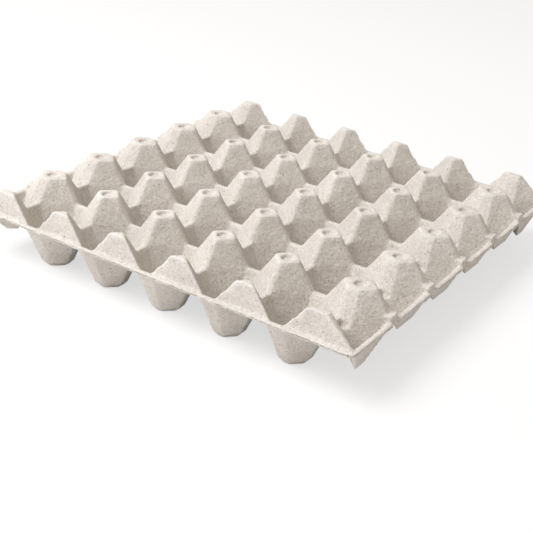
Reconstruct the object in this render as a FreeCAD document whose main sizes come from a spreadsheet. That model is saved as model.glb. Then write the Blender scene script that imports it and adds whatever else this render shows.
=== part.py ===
import FreeCAD, Part
import os
import Sketcher

# Moulded pulp egg tray, one piece: five columns along X and six rows along Y of egg cells.
# Six half cells close each X side, half posts close each Y side.
# The tray stands on its cup bottoms at z = 0 and is centred on the origin.

doc = FreeCAD.newDocument("egg_tray")
sheet = doc.addObject("Spreadsheet::Sheet", "sizes")

sizes = [
    ("pitch", 47.5),
    ("columns", 5),
    ("rows", 6),
    ("height", 49),
    ("wall", 2),
    ("rim_height", 33),
    ("rim_out_x", 28.25),
    ("rim_out_y", 2),
    ("corner_radius", 4),
    ("cup_floor_half", 7.2),
    ("cup_floor_cut", 8.9),
    ("cup_bevel_height", 2.8),
    ("cup_bevel_half", 9.9),
    ("cup_bevel_cut", 12.7),
    ("saddle_half_width", 1.75),
    ("saddle_half_length", 4.6),
    ("post_foot_cut", 20.9),
    ("post_top_cut", 9.3),
    ("post_top_half", 8.05),
    ("plate_thickness", 3.2),
    ("dimple_radius", 4),
    ("dimple_depth", 2.2),
    ("end_foot_inset", 1.6),
    ("end_top_inset", 3),
    ("half_floor_height", 22),
    ("half_floor_cut", 10.2),
    ("half_rim_cut", 19.6),
    ("half_rim_out", 24.25),
    ("half_top_cut", 33.3),
    ("corner_floor_height", 14),
    ("corner_floor_cut", 8.2),
    ("corner_floor_out", 18.25),
    ("corner_ridge_out", 6.75),
    ("ridge_foot_out", 25.25),
    ("ridge_top_out", 12.75),
    ("side_dimple_out", 2.6),
    ("rib_in", 2.15),
    ("rib_out", 2.25),
    ("rib_rise", 1.5),
    ("rib_half_length", 5.8),
    ("step_out", 8.75),
    ("step_drop", 2.6),
    ("tab_in", 20.25),
    ("tab_out", 26.05),
    ("tab_half_width", 4.2),
    ("tab_rise", 4),
    ("notch_half_width", 6),
]
for row, (alias, value) in enumerate(sizes, 1):
    sheet.set("A" + str(row), alias)
    sheet.set("B" + str(row), str(value))
    sheet.setAlias("B" + str(row), alias)
doc.recompute()

FLAT = FreeCAD.Rotation()
ALONG_X = FreeCAD.Rotation(FreeCAD.Vector(1, 1, 1), 120)
ALONG_Y = FreeCAD.Rotation(FreeCAD.Vector(1, 0, 0), 90)
TURNED = FreeCAD.Rotation(FreeCAD.Vector(0, 0, 1), 45).multiply(ALONG_Y)


def new_body(name):
    """A body that can hold several lumps; the features below go into the latest one."""
    made = doc.addObject("PartDesign::Body", name)
    made.AllowCompound = True
    return made


def bind(thing, path, text):
    """Tie one property to the sheet; sizes are written as [name]."""
    thing.setExpression(path, text.replace("[", "sizes.").replace("]", ""))


def amount(text):
    return float(sheet.evalExpression(text.replace("[", "").replace("]", "")))


def polygon(name, corners, place, turn=FLAT):
    """A closed sketch; every corner is held by its distances from the sketch origin."""
    sketch = body.newObject("Sketcher::SketchObject", name)
    sketch.Placement = FreeCAD.Placement(FreeCAD.Vector(), turn)
    for letter, text in zip("xyz", place):
        bind(sketch, "Placement.Base." + letter, text)
    points = [FreeCAD.Vector(amount(u), amount(v), 0) for u, v in corners]
    count = len(points)
    for i in range(count):
        sketch.addGeometry(Part.LineSegment(points[i], points[(i + 1) % count]), False)
    for i in range(count):
        sketch.addConstraint(Sketcher.Constraint("Coincident", i, 2, (i + 1) % count, 1))
    for i, (u, v) in enumerate(corners):
        for kind, text, value in (("DistanceX", u, points[i].x), ("DistanceY", v, points[i].y)):
            if abs(value) < 1e-9:
                across = "PointOnObject"
                line = -2 if kind == "DistanceX" else -1
                sketch.addConstraint(Sketcher.Constraint(across, i, 1, line))
                continue
            ends = (-1, 1, i, 1) if value > 0 else (i, 1, -1, 1)
            number = sketch.addConstraint(Sketcher.Constraint(kind, *ends, abs(value)))
            bind(sketch, "Constraints[" + str(number) + "]", "abs(" + text + ")")
    sketch.Visibility = False
    return sketch


def box(low_x, high_x, low_y, high_y):
    return [(low_x, low_y), (high_x, low_y), (high_x, high_y), (low_x, high_y)]


def frustum(name, place, low, high, low_back=None, high_back=None):
    """Four-sided solid turned by 45 degrees. Its two ends are given as (height, cut), where
    cut is the limit of |x| + |y|; the backward sides can have a cut of their own."""
    part = body.newObject("PartDesign::AdditiveWedge", name)
    part.Placement = FreeCAD.Placement(FreeCAD.Vector(), TURNED)
    for letter, text in zip("xy", place):
        bind(part, "Placement.Base." + letter, text)
    bind(part, "Ymin", low[0])
    bind(part, "Ymax", high[0])
    for end, cut, back in (("", low[1], low_back), ("2", high[1], high_back)):
        for letter in "XZ":
            bind(part, letter + end + "max", "(" + cut + ")/sqrt(2)")
            bind(part, letter + end + "min", "-(" + (back or cut) + ")/sqrt(2)")
    part.Refine = False
    return part


def pad(name, sketch, length, cutting=False):
    kind = "PartDesign::Pocket" if cutting else "PartDesign::Pad"
    part = body.newObject(kind, name)
    part.Profile = sketch
    part.Reversed = cutting
    part.Refine = False
    bind(part, "Length", length)
    return part


def spread(name, parts, columns=None, rows=None):
    """Repeat features of the latest body along X and Y."""
    steps = []
    multi = body.newObject("PartDesign::MultiTransform", name)
    for axis, number in ((0, columns), (1, rows)):
        if number is None:
            continue
        line = body.newObject("PartDesign::LinearPattern", name + "_line")
        line.Direction = (body.Origin.OriginFeatures[axis], [""])
        bind(line, "Occurrences", number)
        bind(line, "Length", "[pitch]*(" + number + "-1)")
        steps.append(line)
    multi.Originals = parts
    multi.Transformations = steps
    multi.Refine = False
    body.Tip = multi


def mirrored(corners):
    """Right-hand corners from bottom to top, completed by their mirror image."""
    return corners + [("-(" + u + ")", v) for u, v in reversed(corners)]


def along_x(name, corners, first_y):
    """Long bar of one section (y, z), from the middle of the tray out over its X side."""
    section = polygon(name + "_section", corners, ("-2", first_y, "0"), ALONG_X)
    return section, SIDE_X + "+[rim_out_x]+4"


def along_y(name, corners, first_x):
    """Long bar of one section (x, z), from the middle of the tray out over its -Y side."""
    section = polygon(name + "_section", corners, (first_x, "2", "0"), ALONG_Y)
    return section, END_Y + "+[rim_out_y]+4"


FIRST_X = "[pitch]*mod([columns]+1;2)/2"
LINE_X = "[pitch]*mod([columns];2)/2"
SIDE_X = "[pitch]*[columns]/2"
HALF_X = "[pitch]*([columns]+1)/2"
END_Y = "[pitch]*[rows]/2"
LINE_Y = "-" + END_Y
FIRST_Y = "-[pitch]*([rows]-1)/2"
INNER_Y = "-[pitch]*([rows]-2)/2"
SECOND_Y = "-[pitch]*([rows]-3)/2"
UNDER = "[rim_height]-[wall]"
OVER = "[height]+1"
CEILING = "[height]-[plate_thickness]"
CELLS_X = "ceil([columns]/2)"
CELLS_Y = "ceil([rows]/2)"
POSTS_X = "floor([columns]/2)"
POSTS_Y = "floor([rows]/2)"
CUP_RIM_CUT = "[pitch]-[post_foot_cut]"
RISE = "([height]-[rim_height])"

# One quarter of the tray is modelled, towards +X and -Y, and mirrored twice at the end.
# Outside of the cups: turned frusta in a grid, parted by bars that form the flat sides
doc.recompute()
body = new_body("outside")
knee = "[cup_bevel_height]+0.6*[wall]"
shoulder = "[rim_height]-0.5"
cup_foot = frustum("cup_foot", (FIRST_X, FIRST_Y), ("0", "[cup_floor_cut]+0.55*[wall]"),
                   (knee, "[cup_bevel_cut]+1.07*[wall]"))
cup_skin = frustum("cup_skin", (FIRST_X, FIRST_Y), (knee, "[cup_bevel_cut]+1.07*[wall]"),
                   (shoulder, CUP_RIM_CUT + "+1.5*[wall]"))
spread("cup_skins", [cup_foot, cup_skin], CELLS_X, CELLS_Y)
gap = "([pitch]/2-[cup_bevel_half]-0.8*[wall])"
apex = knee + "+([rim_height]-0.5-" + knee.replace("+", "-") + ")*" + gap
apex = apex + "/(" + gap + "-[saddle_half_width]+1.1*[wall])"
gaps = [
    ("[pitch]/2-[cup_floor_half]-0.4*[wall]", "-1"),
    ("[pitch]/2-[cup_floor_half]-0.4*[wall]", "0"),
    (gap, knee),
]
gaps = mirrored(gaps)[:3] + [("0", apex)] + mirrored(gaps)[3:]
gap_x = pad("gap_x", *along_x("gap_x", gaps, LINE_Y), True)
spread("gaps_x", [gap_x], rows=POSTS_Y + "+1")
gap_y = pad("gap_y", *along_y("gap_y", gaps, LINE_X), True)
spread("gaps_y", [gap_y], columns=POSTS_X + "+1")

# Outside of the half cells on the X side, a little deeper in the corner
half_skin = frustum("half_skin", (HALF_X, SECOND_Y),
                    ("[half_floor_height]-[wall]", "[half_floor_cut]+0.7*[wall]"),
                    (shoulder, "[half_rim_cut]+1.4*[wall]"))
spread("half_skins", [half_skin], rows=CELLS_Y + "-1")
frustum("corner_skin", (HALF_X, FIRST_Y),
        ("[corner_floor_height]-[wall]", "[corner_floor_cut]+0.7*[wall]"),
        (shoulder, "[half_rim_cut]+1.4*[wall]"))
beyond = [
    (SIDE_X + "+[corner_floor_out]+0.75*[wall]", "-1"),
    (HALF_X + "+[pitch]", "-1"),
    (HALF_X + "+[pitch]", shoulder),
    (SIDE_X + "+[half_rim_out]+1.05*[wall]", shoulder),
    (SIDE_X + "+[corner_floor_out]+0.75*[wall]", "[corner_floor_height]-[wall]"),
]
pad("side_skin", *along_y("side_skin", beyond, "0"), True)
beyond = box("-(" + END_Y + "+[pitch])", LINE_Y, "-1", "[rim_height]")
pad("end_skin", *along_x("end_skin", beyond, "0"), True)

# Flange at mid height and the block that holds all posts
outline = [
    ("-1", "1"),
    ("-1", "-(" + END_Y + "+[rim_out_y])"),
    (SIDE_X + "+[rim_out_x]-[corner_radius]", "-(" + END_Y + "+[rim_out_y])"),
    (SIDE_X + "+[rim_out_x]-0.3*[corner_radius]",
     "-(" + END_Y + "+[rim_out_y]-0.3*[corner_radius])"),
    (SIDE_X + "+[rim_out_x]", "-(" + END_Y + "+[rim_out_y]-[corner_radius])"),
    (SIDE_X + "+[rim_out_x]", "1"),
]
pad("flange", polygon("flange_outline", outline, ("0", "0", UNDER)), "[wall]")
block = [
    ("-(" + END_Y + "-[end_foot_inset])", UNDER),
    ("1", UNDER),
    ("1", "[height]"),
    ("-(" + END_Y + "-[end_top_inset])", "[height]"),
]
block = polygon("block_section", block, ("-1", "0", "0"), ALONG_X)
pad("block", block, SIDE_X + "+[rim_out_x]-1")
skin = box("[rib_out]-1", "[step_out]+0.5", "-([saddle_half_length]+[wall])",
           "[saddle_half_length]+[wall]")
skin = polygon("step_skin_outline", skin, (SIDE_X, FIRST_Y, UNDER + "-[step_drop]"))
spread("step_skins", [pad("step_skin", skin, "[step_drop]+0.5")], rows=CELLS_Y)

# Hollows inside the posts, open underneath and closed by a wall at the end of the tray
doc.recompute()
body = new_body("post_hollows")
hollow = frustum("hollow", (LINE_X, LINE_Y), (UNDER, "[post_foot_cut]-[wall]"),
                 (CEILING, "[post_top_cut]-0.4*[wall]"))
spread("hollows", [hollow], POSTS_X, POSTS_Y + "+1")
side_hollow = frustum("side_hollow", (SIDE_X, LINE_Y),
                      (UNDER, "[pitch]-[half_rim_cut]-0.6*[wall]"),
                      (CEILING, "[pitch]-[half_top_cut]-0.15*[wall]"),
                      "[post_foot_cut]-[wall]", "[post_top_cut]-0.4*[wall]")
spread("side_hollows", [side_hollow], rows=POSTS_Y + "+1")
between = mirrored([
    ("[saddle_half_length]+0.5*[wall]", UNDER),
    ("[pitch]/2-[post_top_half]+0.1*[wall]", CEILING),
])
web_x = pad("web_x", *along_x("web_x", between, FIRST_Y), True)
spread("webs_x", [web_x], rows=CELLS_Y)
web_y = pad("web_y", *along_y("web_y", between, FIRST_X), True)
spread("webs_y", [web_y], columns=CELLS_X)
beyond = [
    (SIDE_X + "+[ridge_foot_out]-0.325*[wall]", UNDER),
    (HALF_X + "+[pitch]", UNDER),
    (HALF_X + "+[pitch]", CEILING),
    (SIDE_X + "+[ridge_top_out]+0.125*[wall]", CEILING),
]
pad("side_wall", *along_y("side_wall", beyond, "0"), True)
beyond = [
    ("-(" + END_Y + "+[pitch])", UNDER),
    ("-(" + END_Y + "-[end_foot_inset]-[wall])", UNDER),
    ("-(" + END_Y + "-[end_top_inset]-[wall])", CEILING),
    ("-(" + END_Y + "+[pitch])", CEILING),
]
pad("end_wall", *along_x("end_wall", beyond, "0"), True)

# Inside of the cups and half cells, up to the rim
doc.recompute()
body = new_body("inside")
floor = "[wall]+[cup_bevel_height]"
cup_floor = frustum("cup_floor", (FIRST_X, FIRST_Y), ("[wall]", "[cup_floor_cut]"),
                    (floor, "[cup_bevel_cut]"))
cup = frustum("cup", (FIRST_X, FIRST_Y), (floor, "[cup_bevel_cut]"),
              ("[rim_height]", CUP_RIM_CUT))
spread("cups", [cup_floor, cup], CELLS_X, CELLS_Y)
saddle = mirrored([
    ("[pitch]/2-[cup_floor_half]", "[wall]-1"),
    ("[pitch]/2-[cup_floor_half]", "[wall]"),
    ("[pitch]/2-[cup_bevel_half]", floor),
    ("[saddle_half_width]", "[rim_height]"),
])
saddle_x = pad("saddle_x", *along_x("saddle_x", saddle, LINE_Y), True)
spread("saddles_x", [saddle_x], rows=POSTS_Y + "+1")
saddle_y = pad("saddle_y", *along_y("saddle_y", saddle, LINE_X), True)
spread("saddles_y", [saddle_y], columns=POSTS_X + "+1")
half = frustum("half", (HALF_X, SECOND_Y), ("[half_floor_height]", "[half_floor_cut]"),
               ("[rim_height]", "[half_rim_cut]"))
spread("halves", [half], rows=CELLS_Y + "-1")
frustum("corner_half", (HALF_X, FIRST_Y), ("[corner_floor_height]", "[corner_floor_cut]"),
        ("[rim_height]", "[half_rim_cut]"))
beyond = [
    (SIDE_X + "+[corner_floor_out]", "1"),
    (HALF_X + "+[pitch]", "1"),
    (HALF_X + "+[pitch]", "[rim_height]"),
    (SIDE_X + "+[half_rim_out]", "[rim_height]"),
    (SIDE_X + "+[corner_floor_out]", "[corner_floor_height]"),
]
pad("half_side", *along_y("half_side", beyond, "0"), True)

# Valleys over the saddles and wider flares over the cells leave the posts standing
lean = "([pitch]/2-[post_top_half]-[saddle_half_length])/" + RISE
valley = mirrored([
    ("[saddle_half_length]", "[rim_height]"),
    ("[pitch]/2-[post_top_half]+" + lean, OVER),
])
lean = "([half_top_cut]-[half_rim_cut])/" + RISE
side_flare = frustum("side_flare", (HALF_X, FIRST_Y), ("[rim_height]", "[half_rim_cut]"),
                     (OVER, "[half_top_cut]+" + lean))
valley_x = pad("valley_x", *along_x("valley_x", valley, FIRST_Y))
spread("valleys_x", [valley_x, side_flare], rows=CELLS_Y)
valley_y = pad("valley_y", *along_y("valley_y", valley, FIRST_X))
spread("valleys_y", [valley_y], columns=CELLS_X)
lean = "([post_foot_cut]-[post_top_cut])/" + RISE
flare = frustum("flare", (FIRST_X, FIRST_Y), ("[rim_height]", CUP_RIM_CUT),
                (OVER, "[pitch]-[post_top_cut]+" + lean))
spread("flares", [flare], CELLS_X, CELLS_Y)


def ridge(name, top, start, length):
    """Everything beyond the outward face of the side posts."""
    lean = "([ridge_foot_out]-" + top + ")/" + RISE
    outline = [
        (SIDE_X + "+[ridge_foot_out]", "[rim_height]"),
        (HALF_X + "+[pitch]", "[rim_height]"),
        (HALF_X + "+[pitch]", OVER),
        (SIDE_X + "+" + top + "-" + lean, OVER),
    ]
    pad(name, polygon(name + "_section", outline, ("0", start, "0"), ALONG_Y), length)


# The outward face stands further in on the half post in the corner
ridge("side_ridge", "[ridge_top_out]", "2", END_Y + "+[rim_out_y]+4")
ridge("corner_ridge", "[corner_ridge_out]", "-(" + END_Y + "-11)", "15+[rim_out_y]")

# Small cuts: lower steps on the side post line, notches in the flange, post dimples.
# The two boxes give clean edges at the middle planes
doc.recompute()
body = new_body("small_cuts")
step = box("[rib_out]", "[step_out]", "-[saddle_half_length]", "[saddle_half_length]")
step = polygon("step_outline", step, (SIDE_X, FIRST_Y, "[rim_height]-[step_drop]"))
spread("steps", [pad("step", step, "[step_drop]+1")], rows=CELLS_Y)
notch = [
    ("[tab_out]+0.3", "-1"),
    ("[rim_out_x]+1", "-[notch_half_width]"),
    ("[rim_out_x]+1", "[notch_half_width]"),
    ("[tab_out]+0.3", "1"),
]
notch = polygon("notch_outline", notch, (SIDE_X, INNER_Y, UNDER + "-1"))
notch = pad("notch", notch, "[wall]+2")


def dimple(name, place):
    """Round recess in the top plate of a post."""
    sketch = body.newObject("Sketcher::SketchObject", name + "_outline")
    for letter, text in zip("xyz", place):
        bind(sketch, "Placement.Base." + letter, text)
    radius = amount("[dimple_radius]")
    sketch.addGeometry(Part.Circle(FreeCAD.Vector(), FreeCAD.Vector(0, 0, 1), radius), False)
    sketch.addConstraint(Sketcher.Constraint("Coincident", 0, 3, -1, 1))
    sketch.addConstraint(Sketcher.Constraint("Radius", 0, radius))
    bind(sketch, "Constraints[1]", "[dimple_radius]")
    sketch.Visibility = False
    return pad(name, sketch, "[dimple_depth]+1")


DIMPLE_FLOOR = "[height]-[dimple_depth]"
side_dimple = dimple("side_dimple", (SIDE_X + "+[side_dimple_out]", INNER_Y, DIMPLE_FLOOR))
spread("notches", [notch, side_dimple], rows=POSTS_Y)
post_dimple = dimple("dimple", (LINE_X, INNER_Y, DIMPLE_FLOOR))
spread("dimples", [post_dimple], POSTS_X, POSTS_Y)
over_x = box("-[pitch]", "0", "-(" + END_Y + "+[pitch])", "[pitch]")
pad("middle_x", polygon("middle_x_outline", over_x, ("0", "0", "-1")), OVER + "+5")
over_y = box("-1", HALF_X + "+[pitch]", "0", "[pitch]")
pad("middle_y", polygon("middle_y_outline", over_y, ("0", "0", "-1")), OVER + "+5")

# Ribs across the saddles of the side post line, and tabs where side posts meet the flange
doc.recompute()
body = new_body("stays")
rib = box("-[rib_in]", "[rib_out]", "-[rib_half_length]", "[rib_half_length]")
rib = polygon("rib_outline", rib, (SIDE_X, FIRST_Y, "[rim_height]-0.5"))
spread("ribs", [pad("rib", rib, "[rib_rise]+0.5")], rows=CELLS_Y)
tab = box("[tab_in]", "[tab_out]", "-[tab_half_width]", "[tab_half_width]")
tab = polygon("tab_outline", tab, (SIDE_X, INNER_Y, "[rim_height]-0.5"))
spread("tabs", [pad("tab", tab, "[tab_rise]+0.5")], rows=POSTS_Y)
tab_over = polygon("tab_over_outline", box("-1", HALF_X + "+[pitch]", "0", "[pitch]"),
                   ("0", "0", "[rim_height]-1"))
pad("tab_over", tab_over, "[tab_rise]+5", True)


def cut_away(name, base, tool):
    cut = doc.addObject("Part::Cut", name)
    cut.Base = base
    cut.Tool = tool
    return cut


def joined(name, shapes):
    whole = doc.addObject("Part::MultiFuse", name)
    whole.Shapes = shapes
    whole.Refine = True
    return whole


def doubled(name, source, normal):
    """The source and its mirror image, joined."""
    image = doc.addObject("Part::Mirroring", name + "_image")
    image.Source = source
    image.Normal = normal
    return joined(name, [source, image])


shell = cut_away("shell", doc.getObject("outside"), doc.getObject("post_hollows"))
shell = cut_away("open_shell", shell, doc.getObject("inside"))
shell = cut_away("detailed_shell", shell, doc.getObject("small_cuts"))
quarter = joined("quarter", [shell, doc.getObject("stays")])
half = doubled("half_tray", quarter, FreeCAD.Vector(1, 0, 0))
tray = doubled("tray", half, FreeCAD.Vector(0, 1, 0))
tray.Label = "tray"

doc.recompute()
for thing in doc.Objects:
    if "Invalid" in thing.State or "Error" in thing.State:
        raise RuntimeError(thing.Name + " failed: " + thing.getStatusString())
shape = tray.Shape
if shape.isNull() or not shape.isValid() or len(shape.Solids) != 1:
    raise RuntimeError("the tray is not one valid solid")

os.makedirs("parts", exist_ok=True)
shape.exportStep("parts/tray.step")
print("tray", round(shape.Volume), len(shape.Faces), shape.BoundBox)
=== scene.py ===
import math

import bmesh
import bpy
import numpy as np
from mathutils import Matrix, Vector, noise


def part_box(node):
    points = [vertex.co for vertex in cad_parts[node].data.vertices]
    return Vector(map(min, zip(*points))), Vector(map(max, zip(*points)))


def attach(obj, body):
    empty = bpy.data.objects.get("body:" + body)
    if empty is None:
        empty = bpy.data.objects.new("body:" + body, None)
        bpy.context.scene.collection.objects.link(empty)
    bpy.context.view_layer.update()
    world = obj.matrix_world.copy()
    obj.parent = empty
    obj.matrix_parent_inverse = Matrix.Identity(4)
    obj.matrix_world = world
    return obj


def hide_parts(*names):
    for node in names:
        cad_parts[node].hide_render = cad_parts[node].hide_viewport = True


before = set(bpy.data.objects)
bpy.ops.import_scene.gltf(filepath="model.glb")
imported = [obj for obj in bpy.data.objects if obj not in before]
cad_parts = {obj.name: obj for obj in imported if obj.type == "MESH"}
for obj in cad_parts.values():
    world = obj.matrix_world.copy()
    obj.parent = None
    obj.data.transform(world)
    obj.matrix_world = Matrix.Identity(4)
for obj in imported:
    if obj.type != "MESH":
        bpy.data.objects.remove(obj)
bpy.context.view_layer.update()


# The camera looks down on one corner of the tray, tilted a little, as in the photograph.
# Lengths are in metres, but the focal length is in pixels, as the picture's width is; it was
# found from the places of the posts.
distance = 0.6994
focal_length = 1014.4
picture_width = 533
target = Vector((0.01553, -0.03081, 0))
azimuth, elevation, roll = (math.radians(a) for a in (32.57, 26.44, 4.16))
back = Vector((
    math.sin(azimuth) * math.cos(elevation),
    -math.cos(azimuth) * math.cos(elevation),
    math.sin(elevation),
))
camera_data = bpy.data.cameras.new("camera")
camera_data.sensor_width = 36
camera_data.lens = focal_length * camera_data.sensor_width / picture_width
camera_data.clip_start = 0.01
camera = bpy.data.objects.new("camera", camera_data)
camera.location = target + back * distance
turn = (-back).to_track_quat("-Z", "Y").to_matrix().to_4x4()
camera.rotation_mode = "QUATERNION"
camera.rotation_quaternion = (turn @ Matrix.Rotation(roll, 4, "Z")).to_quaternion()
bpy.context.scene.collection.objects.link(camera)
bpy.context.scene.camera = camera
bpy.context.scene.view_settings.view_transform = "Standard"


# Plain studio: a pale floor that shows as white and keeps the soft shadow, an even and
# slightly warm surrounding, and one broad cool lamp high up at the left in front of the tray.
floor_mesh = bpy.data.meshes.new("floor")
plane = bmesh.new()
bmesh.ops.create_grid(plane, x_segments=1, y_segments=1, size=4)
plane.to_mesh(floor_mesh)
plane.free()
floor = bpy.data.objects.new("floor", floor_mesh)
bpy.context.scene.collection.objects.link(floor)


def show_white(tree, lit, white):
    """Adds plain white to what the camera, and mirrors and glass, see of a lit surface."""
    path = tree.nodes.new("ShaderNodeLightPath")
    seen = path.outputs["Is Camera Ray"]
    for name in ("Is Glossy Ray", "Is Transmission Ray"):
        either = tree.nodes.new("ShaderNodeMath")
        either.operation = "MAXIMUM"
        tree.links.new(seen, either.inputs[0])
        tree.links.new(path.outputs[name], either.inputs[1])
        seen = either.outputs[0]
    share = tree.nodes.new("ShaderNodeMath")
    share.operation = "MULTIPLY"
    share.inputs[1].default_value = white
    tree.links.new(seen, share.inputs[0])
    glow = tree.nodes.new("ShaderNodeEmission")
    both = tree.nodes.new("ShaderNodeMixShader")
    tree.links.new(share.outputs[0], both.inputs["Fac"])
    tree.links.new(lit.outputs[0], both.inputs[1])
    tree.links.new(glow.outputs[0], both.inputs[2])
    return both


paper = bpy.data.materials.new("floor")
paper.use_nodes = True
shader = paper.node_tree.nodes["Principled BSDF"]
shader.inputs["Base Color"].default_value = (0.93, 0.93, 0.93, 1)
shader.inputs["Roughness"].default_value = 0.9
shader.inputs["Specular IOR Level"].default_value = 0.1
both = show_white(paper.node_tree, shader, 0.65)
end = paper.node_tree.nodes["Material Output"]
paper.node_tree.links.new(both.outputs[0], end.inputs["Surface"])
floor_mesh.materials.append(paper)

world = bpy.data.worlds.new("studio")
world.use_nodes = True
sky = world.node_tree.nodes["Background"]
sky.inputs["Color"].default_value = (1, 0.9, 0.81, 1)
sky.inputs["Strength"].default_value = 0.45
both = show_white(world.node_tree, sky, 1)
end = world.node_tree.nodes["World Output"]
world.node_tree.links.new(both.outputs[0], end.inputs["Surface"])
bpy.context.scene.world = world

lamp_data = bpy.data.lights.new("lamp_high", "AREA")
lamp_data.shape = "DISK"
lamp_data.size = 1.3
lamp_data.energy = 35
lamp_data.color = (0.96, 0.985, 1)
lamp = bpy.data.objects.new("lamp_high", lamp_data)
lamp.location = (-0.75, -0.75, 1.45)
lamp.rotation_mode = "QUATERNION"
lamp.rotation_quaternion = (-lamp.location).to_track_quat("-Z", "Y")
bpy.context.scene.collection.objects.link(lamp)


# Tray: one shell of moulded pulp, about 2 mm thick, sucked onto a wire mesh mould, so every
# edge is rounded and the faces waver a little. Its flange ends in two rough lips with a
# groove between them, where the sheet of pulp was pressed flat and torn off.
grain_size = 0.00085
rounding = 1
edge_rounding = 6
edge_depth = 0.0005
waver = 0.00035
flange_under = 0.031
flange_thickness = 0.002
lip_width = 0.0016
lip_fade = 0.001
lip_depth = 0.0007
lip_waver = 0.0008
groove_place = 0.42
groove_width = 0.16
rim_width = 0.004
rim_fade = 0.002
most_triangles = 190000

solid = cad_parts["tray"]
low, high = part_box("tray")
merged = bmesh.new()
merged.from_mesh(solid.data)
bmesh.ops.remove_doubles(merged, verts=merged.verts, dist=1e-5)
pulp_mesh = bpy.data.meshes.new("pulp_tray")
merged.to_mesh(pulp_mesh)
merged.free()
tray = bpy.data.objects.new("pulp_tray", pulp_mesh)
bpy.context.scene.collection.objects.link(tray)


def shaped(modifier_type, **settings):
    """Give the tray a modifier and keep the mesh that it makes."""
    modifier = tray.modifiers.new(modifier_type.lower(), modifier_type)
    for name, value in settings.items():
        setattr(modifier, name, value)
    bpy.context.view_layer.update()
    graph = bpy.context.evaluated_depsgraph_get()
    made = bpy.data.meshes.new_from_object(tray.evaluated_get(graph))
    tray.modifiers.clear()
    old = tray.data
    tray.data = made
    bpy.data.meshes.remove(old)
    made.name = "pulp_tray"
    return made


pulp_mesh = shaped("REMESH", mode="VOXEL", voxel_size=grain_size, use_smooth_shade=True)
count = len(pulp_mesh.vertices)
spot = np.empty(count * 3)
pulp_mesh.vertices.foreach_get("co", spot)
spot = spot.reshape(-1, 3)
ends = np.empty(len(pulp_mesh.edges) * 2, dtype=np.int32)
pulp_mesh.edges.foreach_get("vertices", ends)
ends = ends.reshape(-1, 2)
linked = np.bincount(ends.ravel(), minlength=count)[:, None]


def around(values):
    """Mean of each vertex's neighbours."""
    total = np.empty_like(values)
    for k in range(values.shape[1]):
        total[:, k] = np.bincount(ends[:, 0], values[ends[:, 1], k], count)
        total[:, k] += np.bincount(ends[:, 1], values[ends[:, 0], k], count)
    return total / linked


for _ in range(rounding):
    spot += 0.5 * (around(spot) - spot)

# How far the rounding pulled each point back: edges stand out, creases lie deep; the material
# paints the edges that stand out paler, as a painted highlight
broad = spot.copy()
for _ in range(edge_rounding):
    broad += 0.5 * (around(broad) - broad)
facing = np.empty(count * 3)
pulp_mesh.vertices.foreach_set("co", spot.ravel())
pulp_mesh.update()
pulp_mesh.vertex_normals.foreach_get("vector", facing)
facing = facing.reshape(-1, 3)
edge = ((spot - broad) * facing).sum(1) / edge_depth
for _ in range(2):
    edge += 0.5 * (around(edge[:, None])[:, 0] - edge)

# Waver of the faces, and the two lips of the flange: level is 0 at its underside, 1 on top
reach = np.array(high)
for i, point in enumerate(spot):
    push = noise.noise(Vector(point) * 45) + 0.5 * noise.noise(Vector(point) * 110)
    spot[i] += facing[i] * push * waver
    out = max(abs(point[0]) - reach[0], abs(point[1]) - reach[1])
    if out > -lip_width:
        level = (point[2] - flange_under) / flange_thickness
        torn = noise.noise(Vector(point) * 230) + noise.noise(Vector(point) * 620)
        groove = math.exp(-((level - groove_place) / groove_width) ** 2)
        sink = lip_depth * (1.1 * groove + (0.7 if level > 0.5 else 0.15))
        sink += lip_waver * max(-0.3, torn) * (0.5 if level > 0.5 else 0.8)
        inward = facing[i] * np.array((1, 1, 0))
        spot[i] -= inward * max(0, sink) * min(1, (out + lip_width) / lip_fade)
spot = np.clip(spot, np.array(low), reach)
pulp_mesh.vertices.foreach_set("co", spot.ravel())
# Attribute that carries where the material paints a highlight on edges that stand out
edge_highlight = pulp_mesh.attributes.new("edge", "FLOAT", "POINT")
edge_highlight.data.foreach_set("value", edge.astype(np.float32))
out = (abs(spot[:, :2]) - reach[:2]).max(axis=1)
rim = pulp_mesh.attributes.new("rim", "FLOAT", "POINT")
near = np.clip((out + rim_width) / rim_fade, 0, 1)
rim.data.foreach_set("value", near.astype(np.float32))
pulp_mesh.update()
pulp_mesh = shaped("DECIMATE", ratio=min(1, most_triangles / (2 * len(pulp_mesh.polygons))),
                   use_collapse_triangulate=True)
for face in pulp_mesh.polygons:
    face.use_smooth = True
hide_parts("tray")
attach(tray, "root")

# Pulp: light grey with a touch of warmth, matt and felted, with cloudy patches, a fine mottle
# of mixed fibres and a few brown flecks of old board; the edges that stand out get a painted
# highlight, and a broken darker line of painted shade runs along the groove of the flange.
pulp_skin = bpy.data.materials.new("moulded_pulp")
pulp_skin.use_nodes = True
nodes, links = pulp_skin.node_tree.nodes, pulp_skin.node_tree.links
shader = nodes["Principled BSDF"]
shader.inputs["Roughness"].default_value = 0.92
shader.inputs["Specular IOR Level"].default_value = 0.15
place = nodes.new("ShaderNodeTexCoord")


def pulp_noise(scale, detail, roughness=0.5):
    made = nodes.new("ShaderNodeTexNoise")
    made.inputs["Scale"].default_value = scale
    made.inputs["Detail"].default_value = detail
    made.inputs["Roughness"].default_value = roughness
    links.new(place.outputs["Object"], made.inputs["Vector"])
    return made.outputs["Fac"]


def ramp(source, stops):
    made = nodes.new("ShaderNodeValToRGB")
    for stop in stops[2:]:
        made.color_ramp.elements.new(stop[0])
    for element, (position, colour) in zip(made.color_ramp.elements, stops):
        element.position = position
        element.color = (*colour, 1)
    links.new(source, made.inputs["Fac"])
    return made.outputs["Color"]


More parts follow.
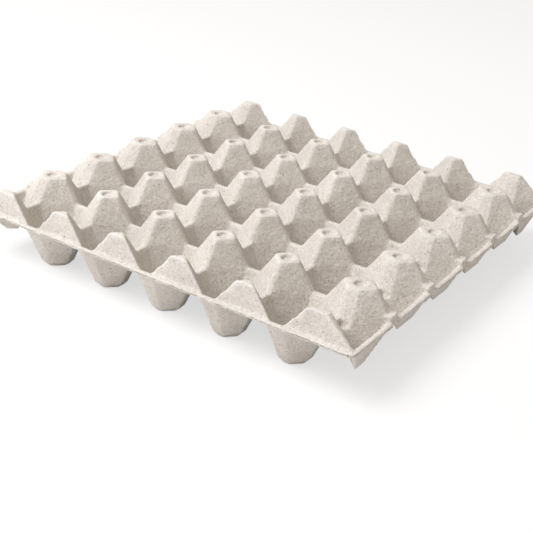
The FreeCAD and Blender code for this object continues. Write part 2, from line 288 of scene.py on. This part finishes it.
def blend(kind, factor, first, second):
    made = nodes.new("ShaderNodeMix")
    made.data_type = "RGBA"
    made.blend_type = kind
    for name, value in (("Factor", factor), ("A", first), ("B", second)):
        socket = next(s for s in made.inputs if s.name == name and s.enabled)
        if hasattr(value, "is_linked"):
            links.new(value, socket)
        else:
            socket.default_value = value
    return next(s for s in made.outputs if s.enabled)


clouds = ramp(pulp_noise(34, 3), [(0.32, (0.67, 0.632, 0.593)), (0.68, (0.76, 0.72, 0.678))])
mottle = ramp(pulp_noise(620, 3, 0.7), [(0.28, (0.76, 0.74, 0.72)), (0.62, (1.0, 1.0, 1.0))])
colour = blend("MULTIPLY", 1.0, clouds, mottle)
speckle = ramp(pulp_noise(1700, 1), [(0.60, (1, 1, 1)), (0.74, (0.66, 0.62, 0.58))])
colour = blend("MULTIPLY", 1.0, colour, speckle)
brown = ramp(pulp_noise(900, 0), [(0.78, (0, 0, 0)), (0.82, (1, 1, 1))])
colour = blend("MIX", brown, colour, (0.27, 0.20, 0.15, 1))
# Painted highlight: edges that stand out are mixed towards a pale colour, as if light caught
# them
edge_highlight = nodes.new("ShaderNodeAttribute")
edge_highlight.attribute_name = "edge"
painted_highlight = ramp(edge_highlight.outputs["Fac"], [(0.1, (0, 0, 0)), (0.9, (0.6, 0.6, 0.6))])
colour = blend("MIX", painted_highlight, colour, (0.88, 0.865, 0.845, 1))
# Painted shade: a broken dark brown line along the groove between the flange's two lips,
# where the upper lip shades it, only near the outer rim
rim = nodes.new("ShaderNodeAttribute")
rim.attribute_name = "rim"
split = nodes.new("ShaderNodeSeparateXYZ")
links.new(place.outputs["Object"], split.inputs[0])
level = nodes.new("ShaderNodeMapRange")
level.inputs["From Min"].default_value = 0.0305
level.inputs["From Max"].default_value = 0.0335
links.new(split.outputs["Z"], level.inputs["Value"])
groove = ramp(level.outputs[0], [
    (0.36, (0, 0, 0)), (0.47, (1, 1, 1)), (0.53, (1, 1, 1)), (0.63, (0, 0, 0)),
])
broken = ramp(pulp_noise(150, 3), [(0.42, (0, 0, 0)), (0.52, (0.75, 0.75, 0.75))])
groove = blend("MULTIPLY", 1.0, groove, broken)
groove = blend("MULTIPLY", 1.0, groove, rim.outputs["Color"])
colour = blend("MIX", groove, colour, (0.30, 0.24, 0.19, 1))
links.new(colour, shader.inputs["Base Color"])

skin = nodes.new("ShaderNodeBump")
skin.inputs["Strength"].default_value = 0.55
skin.inputs["Distance"].default_value = 0.0006
links.new(pulp_noise(760, 4, 0.6), skin.inputs["Height"])
lumps = nodes.new("ShaderNodeBump")
lumps.inputs["Strength"].default_value = 0.55
lumps.inputs["Distance"].default_value = 0.0014
links.new(pulp_noise(190, 3), lumps.inputs["Height"])
links.new(skin.outputs["Normal"], lumps.inputs["Normal"])
links.new(lumps.outputs["Normal"], shader.inputs["Normal"])
pulp_mesh.materials.clear()
pulp_mesh.materials.append(pulp_skin)
